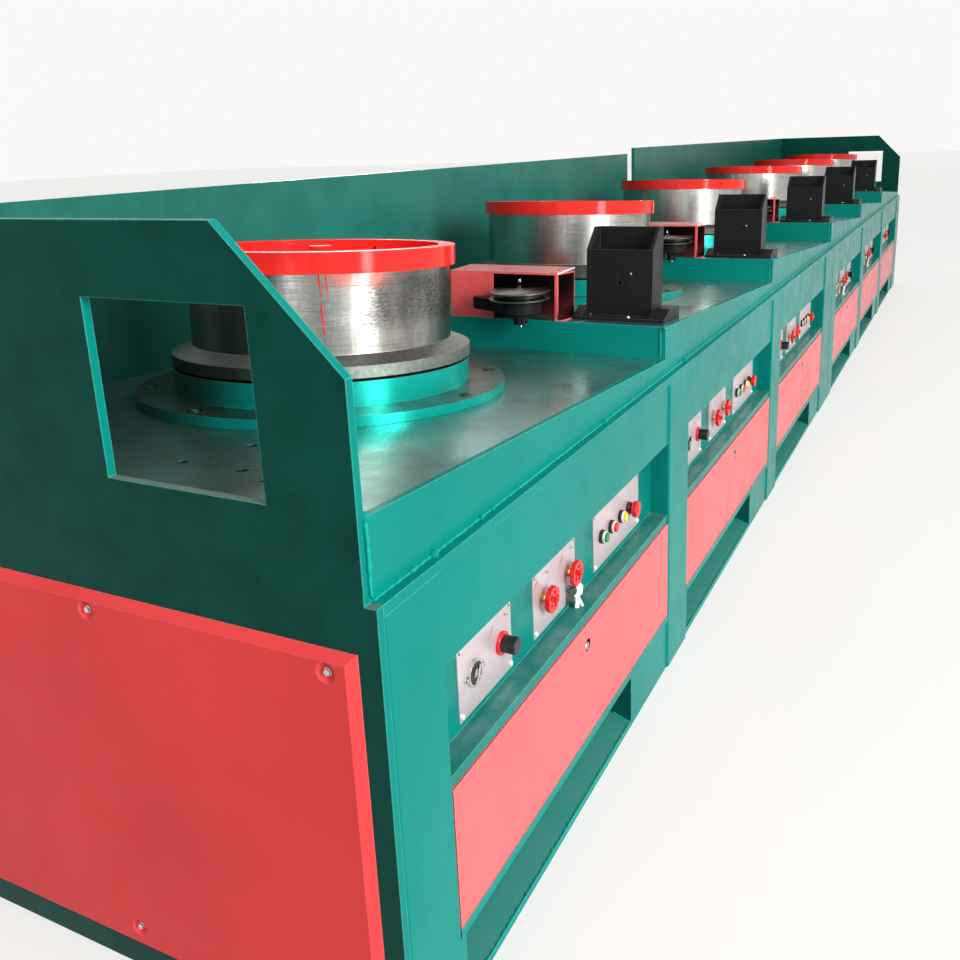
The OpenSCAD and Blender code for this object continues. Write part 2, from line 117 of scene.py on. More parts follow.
def control_x(i, along):
    """Machine X of a control: the far section runs in the other direction."""
    return OPENING_X[i] + (along if i < 3 else OPENING_W - along)


def on_plate(i, along, z=CONTROL_Z):
    """A local frame on a control plate of bay i, its Z toward the operator and its Y up."""
    return here(control_x(i, along), PLATE_Y, z, 90, "X")


def rgb(*screen):
    """A linear colour from 0 to 255 screen values."""
    return [((v / 255 + 0.055) / 1.055) ** 2.4 if v > 10 else v / 3295 for v in screen] + [1.0]


def shade(colour, by):
    """The same colour, lighter or darker."""
    return [min(1.0, v * by) for v in colour[:3]] + [1.0]


class Nodes:
    """A node tree, and shorthands that add nodes to it and return an output socket."""

    def __init__(self, tree):
        self.tree = tree

    def add(self, kind, inputs=None, **settings):
        node = self.tree.nodes.new(kind)
        for key, value in settings.items():
            setattr(node, key, value)
        self.feed(node, inputs or {})
        return node

    def feed(self, node, inputs):
        for key, value in inputs.items():
            if isinstance(value, bpy.types.NodeSocket):
                self.tree.links.new(value, node.inputs[key])
            else:
                node.inputs[key].default_value = value

    def span(self, value, low, high, to_low=0.0, to_high=1.0):
        """Takes low..high smoothly to to_low..to_high, and holds it there beyond them."""
        inputs = {"Value": value, "From Min": low, "From Max": high, "To Min": to_low, "To Max": to_high}
        return self.add("ShaderNodeMapRange", inputs, interpolation_type="SMOOTHSTEP").outputs[0]

    def calc(self, operation, a, b=0.0):
        return self.add("ShaderNodeMath", {0: a, 1: b}, operation=operation).outputs[0]

    def dot(self, a, b):
        return self.add("ShaderNodeVectorMath", {0: a, 1: b}, operation="DOT_PRODUCT").outputs[1]

    def seen(self):
        """1 for what the camera sees, be it through glass or in a reflection."""
        ray = self.add("ShaderNodeLightPath").outputs
        straight = self.calc("MAXIMUM", ray["Is Camera Ray"], ray["Is Transmission Ray"])
        return self.calc("MAXIMUM", straight, ray["Is Glossy Ray"])


class Finish(Nodes):
    """A procedural material."""

    def __init__(self, name):
        self.material = bpy.data.materials.new(name)
        self.material.use_nodes = True
        super().__init__(self.material.node_tree)
        self.shader = self.tree.nodes["Principled BSDF"]
        self.place = self.add("ShaderNodeTexCoord").outputs["Object"]

    def noise(self, scale, detail=2.0, stretch=(1, 1, 1), rough=0.5, place=None):
        vector = place or self.place
        if stretch != (1, 1, 1):
            scaled = self.add("ShaderNodeVectorMath", {0: vector, 1: stretch}, operation="MULTIPLY")
            vector = scaled.outputs[0]
        inputs = {"Vector": vector, "Scale": scale, "Detail": detail, "Roughness": rough}
        return self.add("ShaderNodeTexNoise", inputs).outputs[0]

    def mix(self, share, a, b):
        return self.add("ShaderNodeMix", {0: share, 6: a, 7: b}, data_type="RGBA").outputs[2]

    def along(self, axis):
        """How far along an axis a point lies."""
        return self.dot(self.place, axis)

    def facing(self, axis, normal="Normal"):
        """How far a face looks along axis 0, 1 or 2."""
        looks = self.add("ShaderNodeNewGeometry").outputs[normal]
        return self.add("ShaderNodeSeparateXYZ", {0: looks}).outputs[axis]

    def upward(self):
        """1 on faces that point up, 0 on the others."""
        return self.span(self.facing(2), 0.8, 0.95)

    def chips(self, much):
        """Small chips in paint."""
        return self.span(self.noise(95, 4, rough=0.7), 0.745, 0.765, 0.0, much)

    def rounded(self, radius):
        return self.add("ShaderNodeBevel", {"Radius": radius}, samples=4).outputs[0]

    def arris_highlight(self, rounded):
        """1 along the edges that the rounding softens, 0 on flat ground; the finishes paint a highlight
        there.
        """
        true = self.add("ShaderNodeNewGeometry").outputs["True Normal"]
        return self.span(self.calc("SUBTRACT", 1.0, self.dot(rounded, true)), 0.01, 0.12)

    def bump(self, height, depth, normal=None):
        inputs = {"Height": height, "Distance": depth, "Strength": 1.0}
        if normal:
            inputs["Normal"] = normal
        return self.add("ShaderNodeBump", inputs).outputs[0]

    def sprayed(self, wave, soft, peel=0.00022):
        """The normal of sprayed paint: broad waves, then orange peel."""
        return self.bump(self.noise(330, 2), peel, self.bump(self.noise(3.2, 1), wave, soft))

    def done(self, **inputs):
        self.feed(self.shader, {key.replace("_", " "): value for key, value in inputs.items()})
        return self.material


def enamel(name, colour, gloss, wear, edge=0.002, chip=(70, 74, 70), wave=0.0025, ior=1.15,
           arris_highlight=None, matt_top=0.0, ledge=None, jamb_shade=None):
    """Sprayed machine enamel: cloudy colour, orange peel, waviness, grime, small chips, and paler edges that
    are a painted highlight.

    ledge and the last argument, given together, are the colours of faces that look up and of faces that look
    along X; the darker colour on faces that look along X is painted shade.
    """
    f = Finish(name)
    soft = f.rounded(edge)
    broad = f.noise(1.6, 3)
    cloud = f.noise(11, 6, rough=0.6)
    base = f.mix(f.span(broad, 0.35, 0.65), shade(colour, 0.92), shade(colour, 1.07))
    grime = f.calc("MULTIPLY", f.span(cloud, 0.52, 0.78), 0.5 * wear)
    base = f.mix(grime, base, shade(colour, 0.6))
    chips = f.chips(wear)
    base = f.mix(chips, base, rgb(*chip))
    if ledge:
        base = f.mix(f.calc("MULTIPLY", f.upward(), f.span(cloud, 0.3, 0.6, 0.7, 1.0)), base, rgb(*ledge))
        # Faces that look along X take a darker colour: painted shade.
        base = f.mix(f.span(f.calc("ABSOLUTE", f.facing(0)), 0.6, 0.8), base, rgb(*jamb_shade))
    # Edges painted paler: a painted highlight.
    if arris_highlight:
        base = f.mix(f.calc("MULTIPLY", f.arris_highlight(soft), 0.8), base, rgb(*arris_highlight))
    rough = f.span(cloud, 0.3, 0.7, gloss * 0.8, gloss * 1.3)
    rough = f.calc("ADD", rough, f.calc("MULTIPLY", chips, 0.3))
    if matt_top:
        rough = f.calc("ADD", rough, f.calc("MULTIPLY", f.upward(), matt_top))
    normal = f.bump(f.calc("MULTIPLY", chips, -1.0), 0.0002, f.sprayed(wave, soft))
    return f.done(Base_Color=base, Roughness=rough, Normal=normal, IOR=ior)


def box_enamel(name, colour, inside_shade):
    """Enamel of an open sheet box: dusty outside, darkened within as painted shade, with a painted highlight
    along its edges.
    """
    f = Finish(name)
    soft = f.rounded(0.001)
    cloud = f.noise(12, 6, rough=0.62)
    base = f.mix(f.span(cloud, 0.35, 0.7), shade(colour, 1.04), shade(colour, 0.8))
    dust = f.calc("MULTIPLY", f.upward(), f.span(f.noise(30, 5, rough=0.7), 0.35, 0.65, 0.4, 0.85))
    base = f.mix(dust, base, rgb(190, 146, 138))
    # Edges painted paler: a painted highlight.
    base = f.mix(f.calc("MULTIPLY", f.arris_highlight(soft), 0.7), base, rgb(255, 196, 190))
    # Faces the box hides from the sky are painted dark: painted shade.
    open_sky = f.add("ShaderNodeAmbientOcclusion", {"Distance": 0.3}, samples=12, only_local=True).outputs[1]
    base = f.mix(f.span(open_sky, 0.96, 0.87), base, inside_shade)
    return f.done(Base_Color=base, Roughness=f.span(cloud, 0.3, 0.7, 0.24, 0.38), IOR=1.2,
                  Normal=f.sprayed(0.001, soft, 0.0002))


def shaded_back_enamel(name, colour):
    """Enamel of the back panels: near-black low down beside the first drum and darker toward the far end,
    both painted shade.
    """
    f = Finish(name)
    cloud = f.noise(7, 6, rough=0.62)
    base = f.mix(f.span(cloud, 0.35, 0.7), shade(colour, 1.06), shade(colour, 0.86))
    along = f.along((1, 0, 0))
    # Darker toward the far end: painted shade.
    base = f.mix(f.span(along, -3.6, 4.4, 0.0, 0.75), base, shade(colour, 0.5))
    # Near-black low down beside the first drum, on faces that look to the front: painted shade.
    height = f.calc("ADD", f.along((0, 0, 1)), f.calc("MULTIPLY", f.calc("SUBTRACT", cloud, 0.5), 0.12))
    painted_shade_low = f.calc("MULTIPLY", f.span(along, -3.5, -3.9), f.span(height, 1.3, 1.18))
    painted_shade_low = f.calc("MULTIPLY", painted_shade_low, f.span(f.facing(1), 0.1, -0.1))
    base = f.mix(f.calc("MULTIPLY", painted_shade_low, 0.9), base, rgb(16, 26, 26))
    base = f.mix(f.chips(0.35), base, rgb(70, 92, 86))
    return f.done(Base_Color=base, Roughness=f.span(cloud, 0.3, 0.7, 0.2, 0.32), IOR=1.2,
                  Normal=f.sprayed(0.004, f.rounded(0.002)))


def end_enamel(name, face, rim):
    """Enamel of the end plates: dark on their broad faces as painted shade, green on their edges with a
    painted highlight along them, dusty on top.
    """
    f = Finish(name)
    soft = f.rounded(0.0028)
    cloud = f.noise(9, 6, rough=0.6)
    base = f.mix(f.span(cloud, 0.35, 0.7), shade(face, 1.12), shade(face, 0.82))
    # The broad faces, which look along X, take the dark colour: painted shade; their edges take the bed's
    # green.
    across = f.calc("ABSOLUTE", f.facing(0, "True Normal"))
    base = f.mix(f.span(across, 0.5, 0.8), rim, base)
    # Edges painted paler: a painted highlight.
    base = f.mix(f.calc("MULTIPLY", f.arris_highlight(soft), 0.8), base, rgb(96, 214, 198))
    dust = f.calc("MULTIPLY", f.upward(), f.span(cloud, 0.3, 0.7, 0.75, 1.0))
    base = f.mix(dust, base, rgb(104, 118, 110))
    base = f.mix(f.chips(0.5), base, rgb(70, 92, 86))
    return f.done(Base_Color=base, Roughness=f.span(cloud, 0.3, 0.7, 0.24, 0.36), IOR=1.12,
                  Normal=f.sprayed(0.0025, soft))


def planed_steel(name):
    """Bare machined plate: planing marks across, oily stains, scratches and small pits."""
    f = Finish(name)
    cuts = f.noise(1.0, 3, stretch=(520, 9, 9))
    stain = f.noise(3.4, 6, rough=0.62)
    base = f.mix(f.span(stain, 0.35, 0.68), rgb(150, 200, 195), rgb(94, 142, 135))
    oily = f.calc("MULTIPLY", f.span(f.along((0, 1, 0)), -0.42, -0.3), f.span(f.along((1, 0, 0)), -3.7, -4.0))
    base = f.mix(f.calc("MULTIPLY", oily, f.span(stain, 0.3, 0.7, 0.5, 0.9)), base, rgb(58, 74, 70))
    grains = f.span(f.noise(700, 2, rough=0.7), 0.66, 0.8)
    base = f.mix(f.calc("MULTIPLY", grains, 0.3), base, rgb(48, 60, 56))
    scratch = f.span(f.noise(2.0, 1, stretch=(3, 130, 3)), 0.7, 0.78)
    base = f.mix(f.calc("MULTIPLY", scratch, 0.3), base, rgb(200, 216, 212))
    rough = f.span(stain, 0.3, 0.72, 0.2, 0.4)
    normal = f.bump(cuts, 0.00012, f.rounded(0.0015))
    return f.done(Base_Color=base, Metallic=0.92, Roughness=rough, Normal=normal)


def turned_steel(name, bright, dull, wear):
    """Metal turned round an upright axis: fine rings, dull patches, and scuffs from the wire."""
    f = Finish(name)
    height = f.calc("MULTIPLY", f.along((0, 0, 1)), 1400.0)
    rings = f.noise(1.0, 2, place=f.add("ShaderNodeCombineXYZ", {2: height}).outputs[0])
    cloud = f.noise(5.0, 6, stretch=(1, 1, 0.22), rough=0.55)
    base = f.mix(f.span(cloud, 0.3, 0.75), rgb(*bright), rgb(*dull))
    scuff = f.span(f.noise(34, 6, stretch=(1, 1, 3.6), rough=0.78), 0.62, 0.74)
    scuff = f.calc("MULTIPLY", scuff, f.span(f.noise(6, 2, stretch=(1, 1, 2)), 0.48, 0.66, 0.0, wear))
    base = f.mix(scuff, base, rgb(58, 54, 48))
    rough = f.calc("ADD", f.span(cloud, 0.3, 0.75, 0.2, 0.32), f.calc("MULTIPLY", scuff, 0.18))
    normal = f.bump(rings, 0.00002, f.rounded(0.0015))
    normal = f.bump(scuff, -0.0002, normal)
    turn = f.add("ShaderNodeTangent", direction_type="RADIAL", axis="Z").outputs[0]
    return f.done(Base_Color=base, Metallic=1.0, Roughness=rough, Normal=normal,
                  Anisotropic=0.75, Tangent=turn)


def drum_finish(name, centre, wear, smear=None, dull=None, painted_foot_shade=1.0):
    """A drum round its own axis: polished wall, vertical wipes, wire scuffs, and a rough grey foot.

    smear is the angle of a smear of red; dull gives the angles between which the wall is painted darker, a
    painted reflection of a dark hall, and blotched with scuffs.
    """
    f = Finish(name)
    away = f.add("ShaderNodeVectorMath", {0: f.place, 1: centre}, operation="SUBTRACT").outputs[0]
    back = f.dot(away, (0, 1, 0))
    height = f.dot(away, DRUM_AXIS)
    turn = f.calc("ARCTAN2", back, f.dot(away, (DRUM_AXIS[2], 0, -DRUM_AXIS[0])))
    wall = f.add("ShaderNodeCombineXYZ", {0: f.calc("MULTIPLY", turn, 0.28), 1: height}).outputs[0]
    tone = f.noise(1.0, 5, stretch=(7, 2.2, 1), rough=0.6, place=wall)
    base = f.mix(f.span(tone, 0.36, 0.68), rgb(200, 199, 194), rgb(150, 150, 145))
    wipes = f.noise(1.0, 3, stretch=(90, 5, 1), rough=0.6, place=wall)
    base = f.mix(f.span(wipes, 0.55, 0.8, 0.0, 0.5), base, rgb(224, 224, 220))
    base = f.mix(f.span(wipes, 0.4, 0.25, 0.0, 0.3), base, rgb(96, 96, 92))
    grain = f.noise(1.0, 3, stretch=(14, 380, 1), rough=0.7, place=wall)
    base = f.mix(f.span(grain, 0.38, 0.66, 0.0, 0.4), base, rgb(108, 108, 104))
    band = f.calc("MULTIPLY", f.span(height, 0.15, 0.19), f.span(height, 0.28, 0.25))
    patches = f.noise(1.0, 3, stretch=(4, 11, 1), place=wall)
    patch = f.calc("MULTIPLY", f.span(patches, 0.5, 0.7, 0.0, wear), band)
    # Between the dull angles the wall is painted darker, a painted reflection of a dark hall, and blotched
    # with scuffs.
    if dull:
        start, end = (math.radians(v) for v in dull)
        side = f.calc("MULTIPLY", f.span(turn, start - 0.12, start + 0.1), f.span(turn, end + 0.5, end))
        base = f.mix(f.calc("MULTIPLY", side, f.span(tone, 0.3, 0.7, 0.4, 0.7)), base, rgb(92, 86, 78))
        blotch = f.calc("MULTIPLY", f.calc("MULTIPLY", side, band), f.span(tone, 0.3, 0.6, 0.4, 1.0))
        base = f.mix(f.calc("MULTIPLY", blotch, 0.5), base, rgb(50, 46, 44))
        patch = f.calc("MAXIMUM", patch, blotch)
    scuffs = f.noise(1.0, 9, stretch=(80, 210, 1), rough=0.8, place=wall)
    scuff = f.calc("MULTIPLY", f.span(scuffs, 0.49, 0.58), patch)
    base = f.mix(f.calc("MULTIPLY", scuff, 0.85), base, rgb(50, 46, 42))
    drag = f.span(f.noise(1.0, 2, stretch=(2.2, 210, 1), place=wall), 0.66, 0.7, 0.0, 0.55)
    base = f.mix(drag, base, rgb(84, 80, 74))
    if smear:
        near = f.span(f.calc("ABSOLUTE", f.calc("SUBTRACT", turn, math.radians(smear))), 0.34, 0.1)
        near = f.calc("MULTIPLY", near, f.span(height, 0.235, 0.272))
        base = f.mix(f.calc("MULTIPLY", near, f.span(tone, 0.3, 0.6, 0.15, 0.55)), base, rgb(232, 74, 66))
    foot = f.span(height, 0.119, 0.115)
    cast = f.noise(90, 6, rough=0.75)
    # The foot's greys darkened by a given factor: painted shade, on drums two to six.
    pale, dark = (shade(rgb(*grey), painted_foot_shade) for grey in ((150, 154, 147), (112, 114, 107)))
    rim = f.mix(f.span(cast, 0.3, 0.75), pale, dark)
    # The foot painted darker toward the back: painted shade.
    rim = f.mix(f.span(back, -0.2, 0.0, 0.0, 0.8), rim, rgb(64, 74, 70))
    base = f.mix(foot, base, rim)
    rough = f.calc("ADD", f.span(tone, 0.3, 0.75, 0.2, 0.3), f.calc("MULTIPLY", scuff, 0.16))
    rough = f.calc("ADD", rough, f.calc("MULTIPLY", foot, 0.14))
    rings = f.noise(1.0, 2, stretch=(0.4, 1400, 1), place=wall)
    normal = f.bump(rings, 0.00002, f.rounded(0.0015))
    normal = f.bump(scuff, -0.00015, normal)
    normal = f.bump(f.calc("MULTIPLY", cast, foot), 0.0006, normal)
    around = f.add("ShaderNodeTangent", direction_type="RADIAL", axis="Z").outputs[0]
    return f.done(Base_Color=base, Metallic=1.0, Roughness=rough, Normal=normal,
                  Anisotropic=0.75, Tangent=around)


def part_machined(name, colour):
    """Painted casting whose upward faces are machined bare; darker toward the back, which is painted shade.
    """
    f = Finish(name)
    bare = f.upward()
    cloud = f.noise(10, 5, rough=0.6)
    green = f.mix(f.span(cloud, 0.4, 0.7), shade(colour, 1.05), shade(colour, 0.85))
    # The green painted darker on faces that look to the back: painted shade.
    green = f.mix(f.span(f.facing(1), -0.25, 0.35, 0.0, 0.85), green, rgb(48, 78, 73))
    steel = f.mix(f.span(cloud, 0.36, 0.66), rgb(130, 156, 148), rgb(82, 102, 94))
    # The bare steel painted darker toward the back: painted shade.
    steel = f.mix(f.span(f.along((0, 1, 0)), -0.28, -0.05, 0.0, 0.8), steel, rgb(56, 70, 66))
    rough = f.calc("ADD", f.span(cloud, 0.3, 0.7, 0.2, 0.3), f.calc("MULTIPLY", bare, 0.08))
    normal = f.bump(f.noise(240, 2), 0.00015, f.rounded(0.0025))
    return f.done(Base_Color=f.mix(bare, green, steel), Metallic=f.span(bare, 0, 1, 0.5, 0.9),
                  Roughness=rough, Normal=normal, IOR=1.3)


def recess_enamel(name, colour, dust):
    """Enamel of the control recesses: dusty and worn grey on the ledge, clean on the back sheet."""
    f = Finish(name)
    cloud = f.noise(9, 6, rough=0.62)
    smear = f.noise(1.0, 4, stretch=(3, 60, 3))
    green = f.mix(f.span(cloud, 0.35, 0.7), shade(colour, 1.05), shade(colour, 0.8))
    worn = f.mix(f.span(smear, 0.35, 0.7), dust, shade(dust, 0.72))
    worn = f.mix(f.span(cloud, 0.3, 0.6, 0.35, 0.9), worn, shade(colour, 0.9))
    ledge = f.upward()
    rough = f.calc("SUBTRACT", f.span(cloud, 0.3, 0.7, 0.2, 0.32), f.calc("MULTIPLY", ledge, 0.06))
    soft = f.rounded(0.002)
    # Edges painted paler: a painted highlight.
    base = f.mix(f.calc("MULTIPLY", f.arris_highlight(soft), 0.7), f.mix(ledge, green, worn), rgb(120, 224, 210))
    return f.done(Base_Color=base, Roughness=rough, Normal=f.sprayed(0.0015, soft, 0.0002), IOR=1.2)


def brushed(name, colour, rough):
    """Sheet metal with a drawn grain, and cut edges painted near-white as a painted highlight."""
    f = Finish(name)
    soft = f.rounded(0.0012)
    grain = f.noise(1.0, 2, stretch=(14, 420, 420))
    cloud = f.noise(16, 4)
    base = f.mix(f.span(cloud, 0.35, 0.7), colour, shade(colour, 0.84))
    # Edges painted near-white: a painted highlight.
    base = f.mix(f.arris_highlight(soft), base, rgb(255, 254, 252))
    smear = f.span(cloud, 0.3, 0.7, rough * 0.8, rough * 1.25)
    return f.done(Base_Color=base, Metallic=0.5, Roughness=smear, Normal=f.bump(grain, 0.00005, soft))


def plastic(name, colour, rough):
    """Moulded plastic: a fine satin grain, slightly dusty in patches."""
    f = Finish(name)
    dust = f.noise(45, 5, rough=0.6)
    base = f.mix(f.span(dust, 0.45, 0.8), colour, shade([v + 0.02 for v in colour], 1.25))
    return f.done(Base_Color=base, Roughness=f.span(dust, 0.3, 0.75, rough * 0.8, rough * 1.4),
                  Normal=f.bump(f.noise(900, 2), 0.00005, f.rounded(0.0006)))


def fitting(name, colour, rough, metallic=1.0):
    """Plated or bare small metal: bright, with a little tarnish."""
    f = Finish(name)
    tarnish = f.noise(90, 4, rough=0.65)
    base = f.mix(f.span(tarnish, 0.45, 0.75), colour, shade(colour, 0.55))
    return f.done(Base_Color=base, Metallic=metallic, Normal=f.bump(tarnish, 0.0001, f.rounded(0.0005)),
                  Roughness=f.span(tarnish, 0.3, 0.75, rough, rough * 2))


GREEN = rgb(8, 134, 124)
RED = rgb(236, 44, 38)
# The edge colours given to the enamels below are painted highlights.
green = enamel("green_enamel", GREEN, gloss=0.26, wear=0.35, arris_highlight=(96, 214, 200))
# The sill's faces that look along X are painted darker: painted shade.
green_sill = enamel("green_enamel_sill", GREEN, gloss=0.26, wear=0.35, arris_highlight=(96, 214, 200),
                    ledge=(62, 130, 121), jamb_shade=(14, 88, 80))
# End plates: their broad faces painted dark green: painted shade.
green_end_shaded = end_enamel("green_enamel_end", rgb(12, 73, 63), shade(GREEN, 0.95))
# Back panels: a green darker than the bed's: painted shade.
green_back_shaded = shaded_back_enamel("green_enamel_back", rgb(36, 112, 100))
red_cover = enamel("red_enamel_cover", rgb(238, 74, 76), gloss=0.36, wear=0.05, arris_highlight=(255, 120, 120))
# Guards: their second, near-black colour is painted shade within them.
red_guard = box_enamel("red_enamel_guard", rgb(255, 100, 100), rgb(26, 15, 15))
red_door = enamel("red_enamel_door", rgb(242, 108, 110), gloss=0.24, wear=0.12, wave=0.004,
                  arris_highlight=(255, 214, 200))
red_crown = enamel("red_enamel_crown", RED, gloss=0.07, wear=0.25, wave=0.0, ior=1.3, matt_top=0.45)
black = enamel("black_enamel", rgb(34, 34, 35), gloss=0.3, wear=1.0, chip=(150, 150, 148), wave=0.001,
               arris_highlight=(104, 106, 108))
deck_steel = planed_steel("planed_steel")
wheel_steel = turned_steel("wheel_steel", bright=(126, 123, 120), dull=(82, 80, 78), wear=0.3)
casting = part_machined("green_casting", rgb(8, 168, 154))
recess = recess_enamel("green_enamel_recess", shade(GREEN, 0.9), rgb(120, 158, 150))
alloy = brushed("brushed_alloy", rgb(220, 205, 209), rough=0.42)
# Near-white: bare metal, and a painted highlight on it.
bare_metal_highlight = fitting("bare_metal_highlight", rgb(255, 244, 240), rough=0.4, metallic=0.2)
chrome = fitting("chrome", rgb(214, 214, 212), rough=0.12)
screw_steel = fitting("screw_steel", rgb(196, 196, 192), rough=0.24)
brass = fitting("brass", rgb(240, 204, 112), rough=0.2)
worn_nut = fitting("worn_nut", rgb(176, 96, 78), rough=0.3)
dark_metal = fitting("dark_metal", rgb(96, 98, 98), rough=0.16)
cap_metal = fitting("cap_metal", rgb(74, 74, 76), rough=0.3)
black_plastic = plastic("black_plastic", rgb(26, 24, 24), rough=0.34)
red_plastic = plastic("red_plastic", rgb(226, 22, 26), rough=0.24)
white_plastic = plastic("white_plastic", rgb(238, 236, 234), rough=0.4)
green_plastic = plastic("green_plastic", rgb(24, 140, 62), rough=0.24)
yellow_plastic = plastic("yellow_plastic", rgb(250, 208, 20), rough=0.24)
ink = plastic("printed_marks", rgb(120, 38, 44), rough=0.5)
# Base ring bolts: a green darker than the casting's, painted shade from their counterbores.
bolt_paint = enamel("green_enamel_bolt", rgb(20, 78, 72), gloss=0.2, wear=0.4, wave=0.0)
# Weld beads: a green lighter than the bed's, a painted highlight.
weld = enamel("green_enamel_weld", rgb(22, 164, 150), gloss=0.2, wear=0.1, edge=0.001, wave=0.0)


def coat(finish, *names):
    """Gives CAD nodes their finish."""
    for name in names:
        slots = nodes[name].data.materials
        for k in range(len(slots)):
            slots[k] = finish


coat(green_end_shaded, "end_plates")
coat(green_back_shaded, "back_panels")
coat(green, "bed_bodies", "front_posts", "rear_posts", "ledge_plates", "front_headers",
     "rear_headers", "side_bands", "deck_risers")
coat(green_sill, "front_sills", "rear_sills")
coat(recess, "control_recesses")
coat(red_cover, "end_covers")
coat(red_guard, "tension_guards")
coat(red_door, "front_doors", "rear_doors")
coat(casting, "drum_housings")
coat(deck_steel, "deck_plates")
coat(screw_steel, "arm_pivots")
coat(alloy, "control_plates")
coat(chrome, "range_selectors")
coat(black_plastic, "speed_knobs", "push_buttons")
coat(red_plastic, "valve_wheels", "emergency_stops")
coat(black, "die_boxes")
# The first drum's dull side is a painted reflection of a dark hall.
FIRST_DRUM = {"wear": 1.0, "smear": -128, "dull": (-122, -50)}
# The other drums' feet are painted darker: painted shade.
OTHER_DRUMS = {"wear": 0.4, "painted_foot_shade": 0.3}
for i in BAYS:
    centre = on_deck(i, DRUM_X[i], DRUM_Y).translation
    used = OTHER_DRUMS if i else FIRST_DRUM
    coat(drum_finish(f"turned_steel_{i + 1}", centre, **used), f"drum_{i + 1}")
    coat(red_crown, f"crown_{i + 1}")
for i in STEPS:
    coat(black, f"tension_arm_{i + 1}")
    coat(wheel_steel, f"sheave_{i + 1}")


def placed(name, data):
    """A new object in the scene."""
    obj = bpy.data.objects.new(name, data)
    bpy.context.scene.collection.objects.link(obj)
    return obj


def show(name, mesh, body, finish, smooth=35):
    """Puts a mesh on a body, smooth but for the edges sharper than so many degrees."""
    mesh.shade_smooth()
    mesh.set_sharp_from_angle(angle=math.radians(smooth))
    mesh.materials.clear()
    mesh.materials.append(finish)
    obj = placed(name, mesh)
    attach(obj, body)
    return obj


def stand_for(mesh, name, body, node, finish):
    """Shows a mesh in place of a CAD node."""
    obj = show(name, mesh, body, finish)
    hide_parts(node)


def ring_of(n, radius, start=0.0):
    """n points on a circle, from start in degrees."""
    angles = [math.radians(start + 360 * k / n) for k in range(n)]
    return [(radius * math.cos(a), radius * math.sin(a)) for a in angles]


class Shape:
    """Gathers turned, extruded and tubular forms into one mesh."""

    ASKEW = Vector((0.31, 0.52, 0.79))  # a direction that no tube here takes

    def __init__(self):
        self.points, self.faces = [], []

    def add(self, points, faces, matrix):
        first = len(self.points)
        self.points += [matrix @ Vector(p) for p in points]
        self.faces += [[first + k for k in face] for face in faces]
        return self

    def lathe(self, profile, matrix, sides=24):
        """Turns a profile of (radius, height), from bottom to top, round the local Z axis."""
        points, faces, rows = [], [], []
        for r, z in profile:
            if r == 0:
                rows.append([len(points)] * sides)
                points.append((0, 0, z))
            else:
                rows.append(list(range(len(points), len(points) + sides)))
                points += [(x, y, z) for x, y in ring_of(sides, r)]
        for low, high in zip(rows, rows[1:]):
            for k in range(sides):
                n = (k + 1) % sides
                face = [low[k], low[n], high[n], high[k]]
                faces.append(list(dict.fromkeys(face)))
        return self.add(points, [face for face in faces if len(face) > 2], matrix)

    def prism(self, outline, low, high, matrix, chamfer=0.0):
        """Extrudes a flat outline along local Z, its top edge drawn in by the chamfer."""
        n = len(outline)
        cx = sum(p[0] for p in outline) / n
        cy = sum(p[1] for p in outline) / n
        levels = [(low, 0.0), (high, chamfer)]
        if chamfer:
            levels.insert(1, (high - chamfer, 0.0))
        points = []
        for z, inset in levels:
            for x, y in outline:
                reach = math.hypot(x - cx, y - cy) or 1.0
                share = 1 - inset / reach
                points.append((cx + (x - cx) * share, cy + (y - cy) * share, z))
        faces = [list(range(n))[::-1], list(range((len(levels) - 1) * n, len(levels) * n))]
        for row in range(len(levels) - 1):
            for k in range(n):
                a, b = row * n + k, row * n + (k + 1) % n
                faces.append([a, b, b + n, a + n])
        return self.add(points, faces, matrix)

    def tube(self, path, radii, sides=8):
        """A round bar along points of the frame, with its own radius at each."""
        points, faces = [], []
        for k, p in enumerate(path):
            ahead = (path[min(k + 1, len(path) - 1)] - path[max(k - 1, 0)]).normalized()
            side = ahead.cross(self.ASKEW).normalized()
            other = ahead.cross(side)
            points += [p + side * x + other * y for x, y in ring_of(sides, radii[k])]
            if k:
                base = (k - 1) * sides
                for j in range(sides):
                    n = (j + 1) % sides
                    faces.append([base + j, base + n, base + sides + n, base + sides + j])
        faces += [list(range(sides))[::-1], list(range(len(points) - sides, len(points)))]
        return self.add(points, faces, Matrix.Identity(4))

    def mesh(self, name):
        mesh = bpy.data.meshes.new(name)
        mesh.from_pydata([tuple(p) for p in self.points], [], self.faces)
        mesh.validate()
        return mesh

    def piece(self, name, body, finish, smooth=35):
        show(name, self.mesh(name), body, finish, smooth)


def pan_head(shape, matrix, d, h):
    """A domed screw head with a round recess."""
    r = d / 2
    dome = [(r, 0), (r, h * 0.35), (r * 0.82, h * 0.8), (r * 0.5, h)]
    shape.lathe(dome + [(r * 0.3, h), (r * 0.22, h * 0.4), (0, h * 0.4)], matrix, 14)


def hex_bolt(shape, matrix, flats, h, washer):
    """A hexagon head on its washer."""
    r = flats / math.sqrt(3)
    shape.lathe([(washer, 0), (washer, 1.6), (washer * 0.94, 2.2), (r * 0.8, 2.2)], matrix, 20)
    shape.prism(ring_of(6, r), 2.0, h, matrix, chamfer=1.2)


def cap_screw(shape, matrix, d, h):
    """A cap screw with its socket."""
    r = d / 2
    socket = [(r * 0.56, h), (r * 0.5, h * 0.3), (0, h * 0.3)]
    shape.lathe([(r, -2), (r, h - 1), (r - 1, h)] + socket, matrix, 18)


